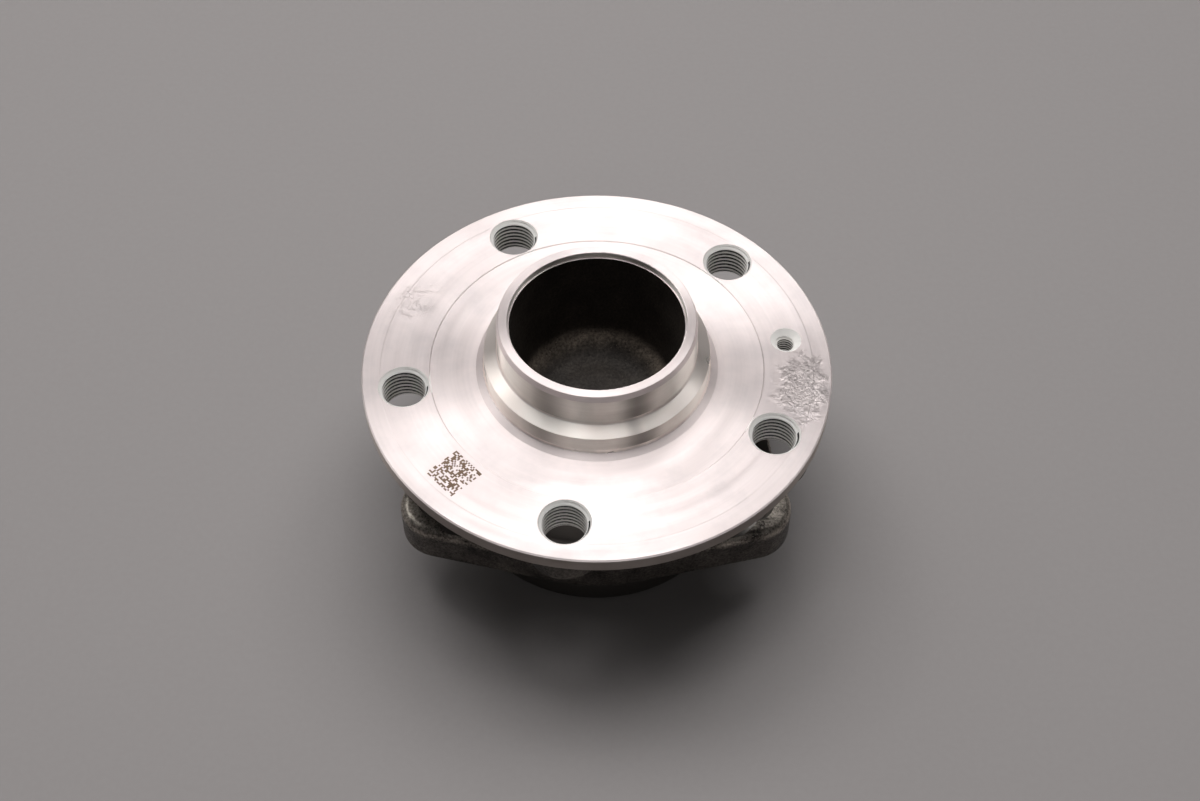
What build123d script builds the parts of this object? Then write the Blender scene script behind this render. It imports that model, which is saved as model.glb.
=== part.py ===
from build123d import *

import os
from dataclasses import dataclass
from math import acos, asin, atan2, cos, degrees, hypot, isclose, radians, sin, sqrt, tan

# Generation 3 wheel hub bearing for a rear wheel that isn't driven. Millimetres, +Z up along the
# wheel axis. Z = 0 is the end of the knuckle spigot, on which the unit stands, and the wheel side
# is up. "Depth" is measured down from the wheel face, where brake disc and wheel seat.

# Wheel side of the hub
FACE_HEIGHT = 60.5
FLANGE_R = 68.0
RIM_THICKNESS = 4.5
RIM_CHAMFER = 0.4
RIM_WIDTH = 6.5
WEB_THICKNESS = 8.0
ROOT_THICKNESS = 12.3
ROOT_R = 44.0
ROOT_SLOPE = 4.0
RELIEF_DEPTH = 0.3
RELIEF_GAP = 0.5
DISC_PILOT_R = 32.5
DISC_PILOT_HEIGHT = 6.4
DISC_FOOT_WIDTH = 2.5
DISC_FOOT_HEIGHT = 1.5
DISC_FOOT_FILLET = 1.2
PILOT_EDGE = 0.25
WHEEL_PILOT_R = 28.5
WHEEL_PILOT_LEAD = 0.6
WHEEL_PILOT_LEAD_HEIGHT = 1.8
PILOT_TOP_HEIGHT = 19.6
PILOT_CONE_HEIGHT = 2.4
PILOT_CONE_FILLET = 1.2
CUP_MOUTH_R = 25.3
CUP_MOUTH_DEPTH = 2.0
CUP_STEP = 0.4
CUP_TAPER = 3.4
CUP_DEPTH = 17.0
CUP_FILLET = 10.0

# Wheel bolts, and the screw that holds the brake disc while the wheel is off
BOLT_COUNT = 5
BOLT_CIRCLE_R = 56.0
FIRST_BOLT_ANGLE = 45.4
BOLT_THREAD_R = 7.0
BOLT_COUNTERSINK = 0.4
BOLT_BOSS_WALL = 3.5
BOLT_BOSS_FILLET = 1.2
DISC_SCREW_R = 3.0
DISC_SCREW_HEAD_R = 4.5
DISC_SCREW_HEAD_DEPTH = 1.5

# Ball rows. The lands and shoulders beside the grooves are given in ball radii from the pitch circle.
BALL_R = 5.953
BALL_COUNT = 14
PITCH_R = 30.5
ROW_SETBACK = 3.75
ROW_SPACING = 19.0
CONTACT_ANGLE = 35.0
BALL_CLEARANCE = 0.03
OUTER_CONFORMITY = 1.06
INNER_CONFORMITY = 1.03
OUTER_LAND_SHARE = 0.3
INNER_LAND_SHARE = 0.89
SHOULDER_SHARE = 0.235

# Cages
CAGE_POCKET_CLEARANCE = 0.2
CAGE_BACK_WALL = 1.65
CAGE_NECK_WALL = 2.7
CAGE_PRONG_SHARE = 0.55
CAGE_INNER_GAP = 1.1
CAGE_THICKNESS = 3.3
CAGE_TAPER = 2.0

# Spindle and the inner ring pressed on it
INNER_RING_BORE_R = 17.5
INNER_RING_OVERHANG = 8.5
INNER_RING_CHAMFER = 1.5
COLLAR_WIDTH = 4.8
COLLAR_THICKNESS = 2.8
COLLAR_ROUNDING = 1.6
SPINDLE_WALL = 4.5
SPINDLE_CONE_R = 9.0
SPINDLE_CONE_DEPTH = 4.5
SPINDLE_DRILL_DEPTH = 10.0
DRILL_POINT_ANGLE = 118.0

# Outer ring
BARREL_WALL = 5.5
BARREL_GAP = 3.7
PLATE_TOP_DEPTH = 27.0
PLATE_THICKNESS = 13.0
PLATE_MARGIN = 5.2
PLATE_FACING_R = 59.3
PLATE_FACING_DEPTH = 0.4
PLATE_FILLET = 2.6
PLATE_BOTTOM_FILLET = 1.2
BARREL_FILLET = 3.0
EAR_X = 45.5
EAR_Y = 30.0
EAR_THREAD_R = 6.0
EAR_WALL = 5.5
EAR_COUNTERSINK = 0.4
WAIST_INSET = 5.2
SPIGOT_WALL = 4.0
SPIGOT_CHAMFER = 0.8
SEAL_SEAT_STEP = 3.96
SEAL_BORE_LENGTH = 3.2
CAP_SEAT_STEP = 1.96
CAP_BORE_LENGTH = 7.0
BORE_CHAMFER = 0.6

# Outboard seal
SLINGER_STEP = 2.9
SLINGER_THICKNESS = 0.7
SLINGER_LENGTH = 5.0
SLINGER_EDGE_GAP = 0.9
SEAL_CASE_THICKNESS = 0.7
SEAL_CASE_SETBACK = 0.3
SEAL_CASE_GAP = 2.3
SEAL_LIP_GAP = 0.08
SEAL_LIP_THICKNESS = 0.6
SEAL_LIP_LEAN = 20.0
SEAL_SKIN = 0.4

# Speed encoder and end cap on the inboard side
CARRIER_THICKNESS = 0.7
CARRIER_GRIP = 2.2
CARRIER_SETBACK = 0.2
ENCODER_WIDTH = 5.5
ENCODER_THICKNESS = 1.0
ENCODER_EDGE_GAP = 1.7
CAP_THICKNESS = 0.8
CAP_CORNER_R = 1.3
CAP_RIM_LENGTH = 4.0
CAP_SETBACK = 1.7
CAP_DISH_R = 25.0
CAP_DISH_DEPTH = 1.2
CAP_GASKET_WIDTH = 1.5

# Points nearer than this are one point, and cutting tools stand out of the stock by the other
TOUCH = 0.001
CUT_OVERRUN = 1.0

# Sizes that follow from those above
BOLT_ANGLES = [FIRST_BOLT_ANGLE + 360 / BOLT_COUNT * i for i in range(BOLT_COUNT)]
DISC_SCREW_ANGLE = FIRST_BOLT_ANGLE - 180 / BOLT_COUNT
BOLT_BOSS_R = BOLT_THREAD_R + BOLT_BOSS_WALL
RELIEF_R = BOLT_CIRCLE_R - BOLT_THREAD_R - RELIEF_GAP
OUTBOARD_ROW_DEPTH = ROOT_THICKNESS + SLINGER_LENGTH + ROW_SETBACK + BALL_R
INBOARD_ROW_DEPTH = OUTBOARD_ROW_DEPTH + ROW_SPACING
OUTER_LAND_R = PITCH_R + OUTER_LAND_SHARE * BALL_R
INNER_LAND_R = PITCH_R - INNER_LAND_SHARE * BALL_R
SHOULDER_R = PITCH_R - SHOULDER_SHARE * BALL_R
INNER_RING_FRONT_DEPTH = (OUTBOARD_ROW_DEPTH + INBOARD_ROW_DEPTH) / 2
INNER_RING_BACK_DEPTH = INBOARD_ROW_DEPTH + INNER_RING_OVERHANG
BARREL_END_DEPTH = ROOT_THICKNESS + BARREL_GAP
PLATE_BOTTOM_DEPTH = PLATE_TOP_DEPTH + PLATE_THICKNESS
EAR_R = EAR_THREAD_R + EAR_WALL
SLINGER_SEAT_R = SHOULDER_R + SLINGER_STEP
SLINGER_SLEEVE_R = SLINGER_SEAT_R + SLINGER_THICKNESS
SEAL_CASE_INNER_R = SLINGER_SLEEVE_R + SEAL_CASE_GAP


def height(depth):
    """Z of a point at this depth under the wheel face."""
    return FACE_HEIGHT - depth


@dataclass(frozen=True)
class Groove:
    """A raceway's round section: its centre, its radius and where it runs out to the lands."""

    centre_r: float
    centre_z: float
    radius: float

    def point(self, angle):
        """Point (r, z) of the section at an angle from +r towards +z."""
        turn = radians(angle)
        return (self.centre_r + self.radius * cos(turn), self.centre_z + self.radius * sin(turn))

    def edge_z(self, land_r, side):
        """Z where the groove meets a land of this radius, above (+1) or below (-1) its centre."""
        return self.centre_z + side * sqrt(self.radius**2 - (land_r - self.centre_r) ** 2)

    def angle_at(self, r, z):
        """Angle of a point of the section, from +r towards +z."""
        return degrees(atan2(z - self.centre_z, r - self.centre_r))


@dataclass(frozen=True)
class Row:
    """One row of balls. side is +1 on the wheel side and -1 on the knuckle side."""

    name: str
    depth: float
    side: int

    @property
    def z(self):
        return height(self.depth)

    def away(self, offset):
        """Z at this distance from the ball centres, away from the other row."""
        return self.z + self.side * offset

    def outer_groove(self):
        """Groove in the outer ring, shifted along the contact line so that the ball clears it."""
        radius = BALL_R * OUTER_CONFORMITY
        shift = radius - BALL_R - BALL_CLEARANCE
        turn = radians(CONTACT_ANGLE)
        return Groove(PITCH_R - shift * cos(turn), self.away(shift * sin(turn)), radius)

    def inner_groove(self):
        """Groove in the spindle or the inner ring."""
        radius = BALL_R * INNER_CONFORMITY
        shift = radius - BALL_R - BALL_CLEARANCE
        turn = radians(CONTACT_ANGLE)
        return Groove(PITCH_R + shift * cos(turn), self.away(-shift * sin(turn)), radius)


OUTBOARD = Row("outboard", OUTBOARD_ROW_DEPTH, 1)
INBOARD = Row("inboard", INBOARD_ROW_DEPTH, -1)

# Radii of the outer ring, which follow from the grooves, and of what seats in it
RELIEF_BORE_R = OUTBOARD.outer_groove().centre_r + OUTBOARD.outer_groove().radius
SEAL_BORE_R = RELIEF_BORE_R + SEAL_SEAT_STEP
CAP_BORE_R = RELIEF_BORE_R + CAP_SEAT_STEP
BARREL_R = SEAL_BORE_R + BARREL_WALL
SPIGOT_R = CAP_BORE_R + SPIGOT_WALL
PLATE_R = BARREL_R + PLATE_MARGIN
SLINGER_FLANGE_R = SEAL_BORE_R - SLINGER_EDGE_GAP
ENCODER_OUTER_R = CAP_BORE_R - CAP_THICKNESS - ENCODER_EDGE_GAP


@dataclass(frozen=True)
class Via:
    """An arc of a turned section: through one point to its end."""

    middle: tuple
    end: tuple


def groove_arc(groove, start, end):
    """The arc of a groove from one (r, z) point to another, by the groove's bottom side."""
    first, last = groove.angle_at(*start), groove.angle_at(*end)
    if start[0] < groove.centre_r:
        first, last = first % 360, last % 360
    return Via(groove.point((first + last) / 2), end)


def rounded_corner(before, corner, after, radius):
    """The three points of a round between two straight runs: its start, middle and end."""
    (ax, ay), (bx, by), (cx, cy) = before, corner, after
    a_len, c_len = hypot(ax - bx, ay - by), hypot(cx - bx, cy - by)
    ux, uy = (ax - bx) / a_len, (ay - by) / a_len
    vx, vy = (cx - bx) / c_len, (cy - by) / c_len
    half = asin(hypot(ux - vx, uy - vy) / 2)
    reach = radius / tan(half)
    mx, my = (ux + vx) / 2, (uy + vy) / 2
    m_len = hypot(mx, my)
    to_middle = radius / sin(half) - radius
    return (
        (bx + ux * reach, by + uy * reach),
        (bx + mx / m_len * to_middle, by + my / m_len * to_middle),
        (bx + vx * reach, by + vy * reach),
    )


def turned(path, arc=360):
    """A solid of revolution about Z, through arc degrees. path is a closed (r, z) section: points,
    (r, z, rounding) corners between straight runs, and Via arcs."""
    ends = [item.end if isinstance(item, Via) else item[:2] for item in path]
    edges = []
    here = None
    for i, item in enumerate(path):
        if isinstance(item, Via):
            edges.append(ThreePointArc((here[0], 0, here[1]), (item.middle[0], 0, item.middle[1]),
                                       (item.end[0], 0, item.end[1])))
            here = item.end
            continue
        start = item[:2]
        if len(item) == 3:
            after = ends[(i + 1) % len(path)]
            start, middle, end = rounded_corner(ends[i - 1], item[:2], after, item[2])
        if here is not None:
            edges.append(Line((here[0], 0, here[1]), (start[0], 0, start[1])))
        else:
            first = start
        here = start
        if len(item) == 3:
            edges.append(ThreePointArc((start[0], 0, start[1]), (middle[0], 0, middle[1]),
                                       (end[0], 0, end[1])))
            here = end
    if hypot(here[0] - first[0], here[1] - first[1]) > TOUCH:
        edges.append(Line((here[0], 0, here[1]), (first[0], 0, first[1])))
    return revolve(make_face(edges), Axis.Z, arc)


def at_radius(radius, angle, z=0.0):
    """Location on a circle about Z."""
    return Location((radius * cos(radians(angle)), radius * sin(radians(angle)), z))


def upright(radius, low, high):
    """Cylinder between two heights."""
    return Pos(0, 0, (low + high) / 2) * Cylinder(radius, high - low)


def widening(low_r, high_r, low, high):
    """Cone frustum between two heights."""
    return Pos(0, 0, (low + high) / 2) * Cone(low_r, high_r, high - low)


def single(shape, name):
    """The one solid of a node."""
    solids = shape.solids()
    assert len(solids) == 1, f"{name} has {len(solids)} solids"
    return solids[0]


def hub_flange():
    """Forged hub: wheel flange, pilots and cup above, raceway and hollow-ended spindle below."""
    face = height(0)
    groove = OUTBOARD.inner_groove()
    cup_land_r = CUP_MOUTH_R - CUP_STEP
    shoulder = (SHOULDER_R, groove.edge_z(SHOULDER_R, 1))
    land = (INNER_LAND_R, groove.edge_z(INNER_LAND_R, -1))
    root = height(ROOT_THICKNESS)
    web = height(WEB_THICKNESS)
    seat_end = height(ROOT_THICKNESS + SLINGER_LENGTH)
    back = height(INNER_RING_BACK_DEPTH)
    end = back - COLLAR_THICKNESS
    pilot_top = face + PILOT_TOP_HEIGHT
    cup_land = pilot_top - CUP_MOUTH_DEPTH
    disc_top = face + DISC_PILOT_HEIGHT
    relief = face - RELIEF_DEPTH
    body = turned([
        (0, height(CUP_DEPTH)),
        (cup_land_r - CUP_TAPER, height(CUP_DEPTH), CUP_FILLET),
        (cup_land_r, cup_land),
        (CUP_MOUTH_R, cup_land),
        (CUP_MOUTH_R, pilot_top, PILOT_EDGE),
        (WHEEL_PILOT_R - WHEEL_PILOT_LEAD, pilot_top, PILOT_EDGE),
        (WHEEL_PILOT_R, pilot_top - WHEEL_PILOT_LEAD_HEIGHT),
        (WHEEL_PILOT_R, disc_top + PILOT_CONE_HEIGHT, PILOT_CONE_FILLET),
        (DISC_PILOT_R, disc_top, PILOT_EDGE),
        (DISC_PILOT_R, relief + DISC_FOOT_HEIGHT, DISC_FOOT_FILLET),
        (DISC_PILOT_R + DISC_FOOT_WIDTH, relief),
        (RELIEF_R - RELIEF_DEPTH, relief),
        (RELIEF_R, face),
        (FLANGE_R - RIM_CHAMFER, face),
        (FLANGE_R, face - RIM_CHAMFER),
        (FLANGE_R, height(RIM_THICKNESS), RIM_CHAMFER),
        (FLANGE_R - RIM_WIDTH, web),
        (ROOT_R + ROOT_SLOPE, web),
        (ROOT_R, root),
        (SLINGER_SEAT_R, root),
        (SLINGER_SEAT_R, seat_end),
        (SHOULDER_R, seat_end - (SLINGER_SEAT_R - SHOULDER_R) / 2),
        shoulder,
        groove_arc(groove, shoulder, land),
        (INNER_LAND_R, height(INNER_RING_FRONT_DEPTH)),
        (INNER_RING_BORE_R, height(INNER_RING_FRONT_DEPTH)),
        (INNER_RING_BORE_R, back + INNER_RING_CHAMFER),
        (INNER_RING_BORE_R + INNER_RING_CHAMFER, back),
        (INNER_RING_BORE_R + COLLAR_WIDTH, back),
        (INNER_RING_BORE_R + COLLAR_WIDTH, end, COLLAR_ROUNDING),
        (INNER_RING_BORE_R - SPINDLE_WALL, end, COLLAR_ROUNDING),
        (SPINDLE_CONE_R, end + SPINDLE_CONE_DEPTH),
        (SPINDLE_CONE_R, end + SPINDLE_DRILL_DEPTH),
        (0, end + SPINDLE_DRILL_DEPTH + SPINDLE_CONE_R / tan(radians(DRILL_POINT_ANGLE / 2))),
    ])
    boss = upright(BOLT_BOSS_R, root, height(RIM_THICKNESS / 2))
    body = body + [at_radius(BOLT_CIRCLE_R, angle) * boss for angle in BOLT_ANGLES]
    feet = [
        edge for edge in body.edges().filter_by(GeomType.CIRCLE)
        if isclose(edge.radius, BOLT_BOSS_R, abs_tol=TOUCH)
        and isclose(edge.center().Z, web, abs_tol=TOUCH)
    ]
    body = fillet(feet, BOLT_BOSS_FILLET)
    hole = upright(BOLT_THREAD_R, root - CUT_OVERRUN, face + CUT_OVERRUN)
    mouth = widening(BOLT_THREAD_R, BOLT_THREAD_R + BOLT_COUNTERSINK, face - BOLT_COUNTERSINK, face)
    outlet = widening(BOLT_THREAD_R + BOLT_COUNTERSINK, BOLT_THREAD_R, root, root + BOLT_COUNTERSINK)
    cuts = [at_radius(BOLT_CIRCLE_R, a) * cut for a in BOLT_ANGLES for cut in (hole, mouth, outlet)]
    screw = upright(DISC_SCREW_R, root - CUT_OVERRUN, face + CUT_OVERRUN)
    head = widening(DISC_SCREW_R, DISC_SCREW_HEAD_R, face - DISC_SCREW_HEAD_DEPTH, face)
    cuts += [at_radius(BOLT_CIRCLE_R, DISC_SCREW_ANGLE) * cut for cut in (screw, head)]
    return single(body - cuts, "hub_flange")


def inner_ring():
    """Small inner ring, pressed on the spindle and held by its formed collar."""
    groove = INBOARD.inner_groove()
    front, back = height(INNER_RING_FRONT_DEPTH), height(INNER_RING_BACK_DEPTH)
    land = (INNER_LAND_R, groove.edge_z(INNER_LAND_R, 1))
    shoulder = (SHOULDER_R, groove.edge_z(SHOULDER_R, -1))
    return single(turned([
        (INNER_RING_BORE_R, front),
        (INNER_LAND_R, front),
        land,
        groove_arc(groove, land, shoulder),
        (SHOULDER_R, back),
        (INNER_RING_BORE_R + INNER_RING_CHAMFER, back),
        (INNER_RING_BORE_R, back + INNER_RING_CHAMFER),
    ]), "inner_ring")


def plate_outline():
    """Mounting plate seen along the axis: four round ears, joined by hollow waists at the sides
    and by tangents to the round middle above and below."""
    waist_x = EAR_X + EAR_R - WAIST_INSET
    waist_r = ((EAR_R - WAIST_INSET) ** 2 + EAR_Y**2 - EAR_R**2) / (2 * WAIST_INSET)
    to_waist = atan2(-EAR_Y, waist_x + waist_r - EAR_X)
    to_middle = atan2(EAR_Y, EAR_X) + acos((PLATE_R - EAR_R) / hypot(EAR_X, EAR_Y))

    def on_ear(turn):
        return (EAR_X + EAR_R * cos(turn), EAR_Y + EAR_R * sin(turn))

    lower, outer, upper = (on_ear(t) for t in (to_waist, (to_waist + to_middle) / 2, to_middle))
    shoulder = (PLATE_R * cos(to_middle), PLATE_R * sin(to_middle))
    edges = []
    for x_side in (-1, 1):
        for y_side in (-1, 1):
            a, b, c, d = ((x_side * x, y_side * y) for x, y in (lower, outer, upper, shoulder))
            edges += [ThreePointArc(a, b, c), Line(c, d)]
        top, bottom = ((x_side * lower[0], y_side * lower[1]) for y_side in (-1, 1))
        edges.append(ThreePointArc(top, (x_side * waist_x, 0), bottom))
    for y_side in (-1, 1):
        left, right = ((x_side * shoulder[0], y_side * shoulder[1]) for x_side in (-1, 1))
        edges.append(ThreePointArc(left, (0, y_side * PLATE_R), right))
    return make_face(edges)


def outer_ring():
    """Fixed outer ring: barrel, four-eared mounting plate and knuckle spigot in one forging."""
    top, bottom = height(PLATE_TOP_DEPTH), height(PLATE_BOTTOM_DEPTH)
    barrel_end = height(BARREL_END_DEPTH)
    plate = Pos(0, 0, bottom) * extrude(plate_outline(), PLATE_THICKNESS)
    plate = fillet(plate.edges().group_by(Axis.Z)[-1], PLATE_FILLET)
    plate = fillet(plate.edges().group_by(Axis.Z)[0], PLATE_BOTTOM_FILLET)
    facing_z = top - PLATE_FACING_DEPTH
    plate = plate - upright(PLATE_FACING_R, facing_z, top + CUT_OVERRUN)
    core = turned([
        (0, 0),
        (SPIGOT_R - SPIGOT_CHAMFER, 0),
        (SPIGOT_R, SPIGOT_CHAMFER),
        (SPIGOT_R, bottom + CUT_OVERRUN),
        (BARREL_R + BARREL_FILLET, bottom + CUT_OVERRUN),
        (BARREL_R + BARREL_FILLET, facing_z),
        Via((BARREL_R + BARREL_FILLET * (1 - cos(radians(45))),
             facing_z + BARREL_FILLET * (1 - sin(radians(45)))),
            (BARREL_R, facing_z + BARREL_FILLET)),
        (BARREL_R, barrel_end - BORE_CHAMFER),
        (BARREL_R - BORE_CHAMFER, barrel_end),
        (0, barrel_end),
    ])
    hole = upright(EAR_THREAD_R, bottom - CUT_OVERRUN, top + CUT_OVERRUN)
    mouth = widening(EAR_THREAD_R + EAR_COUNTERSINK, EAR_THREAD_R, bottom, bottom + EAR_COUNTERSINK)
    outlet = widening(EAR_THREAD_R, EAR_THREAD_R + EAR_COUNTERSINK, top - EAR_COUNTERSINK, top)
    holes = [Pos(x, y) * cut for x in (-EAR_X, EAR_X) for y in (-EAR_Y, EAR_Y)
             for cut in (hole, mouth, outlet)]
    return single(plate + core - holes - bearing_bore(), "outer_ring")


def bearing_bore():
    """Everything that is bored out of the outer ring, from the seal seat to the cap seat."""
    upper, lower = OUTBOARD.outer_groove(), INBOARD.outer_groove()
    barrel_end = height(BARREL_END_DEPTH)
    upper_land = (OUTER_LAND_R, upper.edge_z(OUTER_LAND_R, -1))
    lower_land = (OUTER_LAND_R, lower.edge_z(OUTER_LAND_R, 1))
    seal_floor = barrel_end - SEAL_BORE_LENGTH
    return turned([
        (0, -CUT_OVERRUN),
        (CAP_BORE_R + BORE_CHAMFER, -CUT_OVERRUN),
        (CAP_BORE_R + BORE_CHAMFER, 0),
        (CAP_BORE_R, BORE_CHAMFER),
        (CAP_BORE_R, CAP_BORE_LENGTH),
        (RELIEF_BORE_R, CAP_BORE_LENGTH),
        (RELIEF_BORE_R, lower.centre_z),
        groove_arc(lower, (RELIEF_BORE_R, lower.centre_z), lower_land),
        upper_land,
        groove_arc(upper, upper_land, (RELIEF_BORE_R, upper.centre_z)),
        (RELIEF_BORE_R, seal_floor),
        (SEAL_BORE_R, seal_floor),
        (SEAL_BORE_R, barrel_end - BORE_CHAMFER),
        (SEAL_BORE_R + BORE_CHAMFER, barrel_end),
        (SEAL_BORE_R + BORE_CHAMFER, barrel_end + CUT_OVERRUN),
        (0, barrel_end + CUT_OVERRUN),
    ])


def ball(row, index):
    """One bearing ball, in its pocket."""
    angle = 360 / BALL_COUNT * index
    return at_radius(PITCH_R, angle, row.z) * Sphere(BALL_R)


def cage(row):
    """Snap-in cage: a ring on the outer side of the row with an open pocket for each ball. One
    sector with its pocket is made, and its copies are joined round the ring."""
    inner_r = SHOULDER_R + CAGE_INNER_GAP
    outer_r = inner_r + CAGE_THICKNESS
    back = BALL_R + CAGE_BACK_WALL
    prong_z = row.away(-CAGE_PRONG_SHARE * BALL_R)
    pitch = 360 / BALL_COUNT
    sector = Rot(0, 0, -pitch / 2) * turned([
        (inner_r - CAGE_TAPER, prong_z),
        (inner_r, row.away(back - CAGE_NECK_WALL)),
        (inner_r, row.away(back)),
        (outer_r, row.away(back)),
        (outer_r - CAGE_TAPER / 4, prong_z),
    ], pitch)
    sector = sector - at_radius(PITCH_R, 0, row.z) * Sphere(BALL_R + CAGE_POCKET_CLEARANCE)
    first, *others = [Rot(0, 0, pitch * i) * sector for i in range(BALL_COUNT)]
    return single(first.fuse(*others).clean(), row.name + "_cage")


def outboard_slinger():
    """Pressed steel flinger on the hub, the surface that the seal lips run on."""
    root = height(ROOT_THICKNESS)
    return single(turned([
        (SLINGER_SEAT_R, root),
        (SLINGER_FLANGE_R, root),
        (SLINGER_FLANGE_R, root - SLINGER_THICKNESS),
        (SLINGER_SLEEVE_R, root - SLINGER_THICKNESS, SLINGER_THICKNESS),
        (SLINGER_SLEEVE_R, root - SLINGER_LENGTH),
        (SLINGER_SEAT_R, root - SLINGER_LENGTH),
    ]), "outboard_slinger")


def seal_levels():
    """Heights of the seal case: its open end, and the two faces of its inner leg."""
    top = height(BARREL_END_DEPTH) - SEAL_CASE_SETBACK
    floor = height(BARREL_END_DEPTH) - SEAL_BORE_LENGTH
    return top, floor + SEAL_CASE_THICKNESS, floor


def outboard_seal_case():
    """Pressed steel core of the seal, an L section tight in the outer ring."""
    top, leg_top, leg_bottom = seal_levels()
    return single(turned([
        (SEAL_BORE_R, top),
        (SEAL_BORE_R, leg_bottom),
        (SEAL_CASE_INNER_R, leg_bottom),
        (SEAL_CASE_INNER_R, leg_top),
        (SEAL_BORE_R - SEAL_CASE_THICKNESS, leg_top),
        (SEAL_BORE_R - SEAL_CASE_THICKNESS, top),
    ]), "outboard_seal_case")


def face_lip(foot_r, foot_z):
    """Section of a lip that leans outwards from the skin to the flinger, from its inner side."""
    tip_z = height(ROOT_THICKNESS) - SLINGER_THICKNESS - SEAL_LIP_GAP
    tip_r = foot_r + (tip_z - foot_z) * tan(radians(SEAL_LIP_LEAN))
    return [
        (foot_r, foot_z),
        (tip_r, tip_z),
        (tip_r + SEAL_LIP_THICKNESS / 2, tip_z),
        (foot_r + SEAL_LIP_THICKNESS, foot_z),
    ]


def outboard_seal_lips():
    """Rubber bonded to the case: a skin over its leg, two face lips and one lip on the sleeve."""
    leg_top, leg_bottom = seal_levels()[1:]
    skin_top = leg_top + SEAL_SKIN
    case_r = SEAL_BORE_R - SEAL_CASE_THICKNESS
    lip = SEAL_LIP_THICKNESS
    sleeve_r = SLINGER_SLEEVE_R + SEAL_LIP_GAP
    first_foot_r = SEAL_CASE_INNER_R + lip
    second_foot_r = (first_foot_r + case_r) / 2 - lip
    return single(turned([
        (SEAL_CASE_INNER_R, leg_bottom),
        (SEAL_CASE_INNER_R - lip, leg_bottom),
        (sleeve_r, skin_top + 2 * lip),
        (sleeve_r, skin_top + 2.5 * lip),
        (SEAL_CASE_INNER_R, skin_top),
        *face_lip(first_foot_r, skin_top),
        *face_lip(second_foot_r, skin_top),
        (case_r, skin_top),
        (case_r, leg_top),
        (SEAL_CASE_INNER_R, leg_top),
    ]), "outboard_seal_lips")


def carrier_levels():
    """Heights of the encoder carrier: sleeve top, flange top and flange bottom."""
    back = height(INNER_RING_BACK_DEPTH)
    flange_top = back - CARRIER_SETBACK
    return back + CARRIER_GRIP, flange_top, flange_top - CARRIER_THICKNESS


def encoder_carrier():
    """Pressed steel ring on the inner ring's shoulder."""
    sleeve_top, flange_top, flange_bottom = carrier_levels()
    return single(turned([
        (SHOULDER_R, sleeve_top),
        (SHOULDER_R + CARRIER_THICKNESS, sleeve_top),
        (SHOULDER_R + CARRIER_THICKNESS, flange_top),
        (ENCODER_OUTER_R, flange_top),
        (ENCODER_OUTER_R, flange_bottom),
        (SHOULDER_R, flange_bottom, CARRIER_THICKNESS),
    ]), "encoder_carrier")


def encoder_ring():
    """Magnetised rubber ring bonded to the carrier, read by the wheel speed sensor."""
    top = carrier_levels()[2]
    return single(turned([
        (ENCODER_OUTER_R - ENCODER_WIDTH, top),
        (ENCODER_OUTER_R, top),
        (ENCODER_OUTER_R, top - ENCODER_THICKNESS),
        (ENCODER_OUTER_R - ENCODER_WIDTH, top - ENCODER_THICKNESS),
    ]), "encoder_ring")


def end_cap():
    """Drawn steel cap that closes the knuckle end, with a shallow dish over the formed collar."""
    rim_r, inner_r = CAP_BORE_R, CAP_BORE_R - CAP_THICKNESS
    low, high = CAP_SETBACK, CAP_SETBACK + CAP_RIM_LENGTH
    dish = low - CAP_DISH_DEPTH
    return single(turned([
        (0, dish),
        (CAP_DISH_R, dish),
        (CAP_DISH_R + CAP_DISH_DEPTH, low),
        (rim_r, low, CAP_CORNER_R),
        (rim_r, high),
        (inner_r, high),
        (inner_r, low + CAP_THICKNESS, CAP_CORNER_R - CAP_THICKNESS),
        (CAP_DISH_R + CAP_DISH_DEPTH, low + CAP_THICKNESS),
        (CAP_DISH_R, dish + CAP_THICKNESS),
        (0, dish + CAP_THICKNESS),
    ]), "end_cap")


def cap_gasket():
    """Rubber ring between the cap's rim and the step of the outer ring's bore."""
    low, high = CAP_SETBACK + CAP_RIM_LENGTH, CAP_BORE_LENGTH
    return single(turned([
        (CAP_BORE_R, low),
        (CAP_BORE_R, high),
        (CAP_BORE_R - CAP_GASKET_WIDTH, high),
        (CAP_BORE_R - CAP_GASKET_WIDTH, low),
    ]), "cap_gasket")


def build():
    """Every node by name."""
    nodes = {
        "hub_flange": hub_flange(),
        "inner_ring": inner_ring(),
        "outer_ring": outer_ring(),
        "outboard_slinger": outboard_slinger(),
        "outboard_seal_case": outboard_seal_case(),
        "outboard_seal_lips": outboard_seal_lips(),
        "encoder_carrier": encoder_carrier(),
        "encoder_ring": encoder_ring(),
        "end_cap": end_cap(),
        "cap_gasket": cap_gasket(),
    }
    for row in (OUTBOARD, INBOARD):
        nodes[row.name + "_cage"] = cage(row)
        for index in range(BALL_COUNT):
            nodes[f"{row.name}_ball_{index + 1:02d}"] = ball(row, index)
    return nodes


os.makedirs("parts", exist_ok=True)
for node_name, shape in build().items():
    export_step(shape, f"parts/{node_name}.step")
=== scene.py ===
"""Looks of a flanged wheel hub bearing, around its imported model.

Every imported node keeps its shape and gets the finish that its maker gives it. The threads, which
the solids leave out, are cut here as surfaces in their bores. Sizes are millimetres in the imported
frame, with +Z along the wheel axis, and meshes are in metres.
"""

import logging
from collections.abc import Callable, Sequence
from dataclasses import dataclass, field, replace
from enum import IntEnum
from math import cos, radians, sin
from typing import ClassVar

import bmesh
import bpy
import numpy as np
from mathutils import Matrix


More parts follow.
